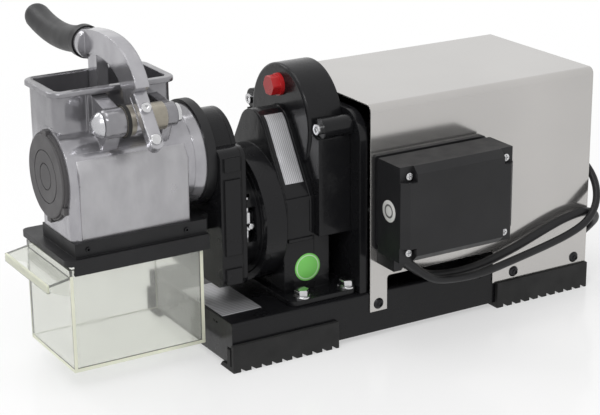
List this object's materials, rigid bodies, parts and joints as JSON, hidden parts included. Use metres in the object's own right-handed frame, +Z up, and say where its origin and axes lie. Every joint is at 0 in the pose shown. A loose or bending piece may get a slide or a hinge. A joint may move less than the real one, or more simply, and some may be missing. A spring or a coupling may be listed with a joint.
{
  "type": "electric grater",
  "caption": "Tabletop electric cheese grater: geared motor under a bent sheet cover drives a toothed drum in a cast hopper with a hand presser lever and a drawer.",
  "frame": {"origin": "middle of the machine's bounding box, without the mains cord, on the table under the feet", "axes": "+X from the grating head along the shafts to the rear panel, +Y from the junction box side to the grip side, +Z up"},
  "size_m": [0.5433, 0.3343, 0.283],
  "materials": {
    "base_paint": "semi-gloss black",
    "case_paint": "semi-gloss black",
    "stainless": "brushed, satin",
    "steel": "ground steel",
    "zinc": "zinc plated",
    "black_screw": "black oxide",
    "cast_alu": "polished casting",
    "bronze": "satin bronze",
    "black_plastic": "fine-grained",
    "rubber": "matt",
    "grip_rubber": "matt grey",
    "red_plastic": "gloss",
    "clear_plastic": "clear acrylic, pale yellow-green edges",
    "silicon_steel": "laminated",
    "copper": "enamelled copper",
    "cord_jacket": "satin black",
    "matte_white": "matt"
  },
  "bodies": {
    "frame": {"base_channel": "base_paint", "front_feet": "rubber", "rear_feet": "rubber", "motor_cover": "stainless", "cover_screws": "black_screw", "rear_panel": "stainless", "lead_grommet": "rubber", "gear_case_front": "case_paint", "gear_case_rear": "case_paint", "oil_plug": "red_plastic", "case_screws": "zinc", "foot_bolts": "zinc", "bearings": "steel", "adapter_case": "case_paint", "adapter_plate": "case_paint", "clamp_bolt": "zinc", "spacer_ring": "black_plastic", "drum_bushes": "bronze", "head_body": "cast_alu", "end_cap": "black_plastic", "pivot_pin": "zinc", "pivot_bushes": "bronze", "drawer_guide": "black_plastic", "guide_screws": "black_screw", "motor_flange": "case_paint", "stator_core": "silicon_steel", "stator_windings": "copper", "rear_bell": "case_paint", "motor_cradle": "case_paint", "box_body": "black_plastic", "box_lid": "black_plastic", "box_screws": "zinc", "capacitor": "matte_white", "switch_frame": "black_plastic", "cable_glands": "black_plastic", "motor_lead": "cord_jacket", "mains_cord": "cord_jacket", "cord_coil": "cord_jacket", "mains_plug": "cord_jacket"},
    "rotor": {"rotor_core": "silicon_steel", "motor_shaft": "steel", "motor_pinion": "steel", "cooling_fan": "black_plastic"},
    "counter": {"countershaft": "steel", "first_gear": "steel"},
    "output": {"output_shaft": "steel", "output_gear": "steel", "step_up_gear": "steel"},
    "drum": {"drum_shell": "stainless", "drum_ends": "stainless", "drum_shaft": "steel", "drum_pinion": "steel"},
    "lever": {"lever_arm": "cast_alu", "stop_bar": "cast_alu", "grip_collar": "black_plastic", "lever_grip": "grip_rubber", "presser_plate": "cast_alu"},
    "drawer": {"drawer_cup": "clear_plastic", "drawer_handle": "clear_plastic"},
    "rocker": {"switch_rocker": "red_plastic"}
  },
  "joints": [
    {"name": "rotor_spin", "type": "hinge", "parent": "frame", "child": "rotor", "pos_m": [0.1221, -0.0183, 0.134], "axis": [1, 0, 0], "continuous": true},
    {"name": "counter_spin", "type": "hinge", "parent": "frame", "child": "counter", "pos_m": [-0.0179, -0.0183, 0.178], "axis": [1, 0, 0], "continuous": true},
    {"name": "output_spin", "type": "hinge", "parent": "frame", "child": "output", "pos_m": [-0.0379, -0.0183, 0.11], "axis": [1, 0, 0], "continuous": true},
    {"name": "drum_spin", "type": "hinge", "parent": "frame", "child": "drum", "pos_m": [-0.1779, -0.0183, 0.173], "axis": [1, 0, 0], "continuous": true},
    {"name": "lever_hinge", "type": "hinge", "parent": "frame", "child": "lever", "pos_m": [-0.1759, -0.0613, 0.222], "axis": [1, 0, 0], "range_deg": [0, 52]},
    {"name": "drawer_slide", "type": "slide", "parent": "frame", "child": "drawer", "axis": [-1, 0, 0], "range_m": [0, 0.11]},
    {"name": "switch_rock", "type": "hinge", "parent": "frame", "child": "rocker", "pos_m": [0.1348, -0.1266, 0.14], "axis": [0, -1, 0], "range_deg": [0, 16]}
  ],
  "couplings": [
    {"joint": "counter_spin", "follows": "rotor_spin", "ratio": -0.25714},
    {"joint": "output_spin", "follows": "rotor_spin", "ratio": 0.092571},
    {"joint": "drum_spin", "follows": "rotor_spin", "ratio": -0.17252}
  ]
}
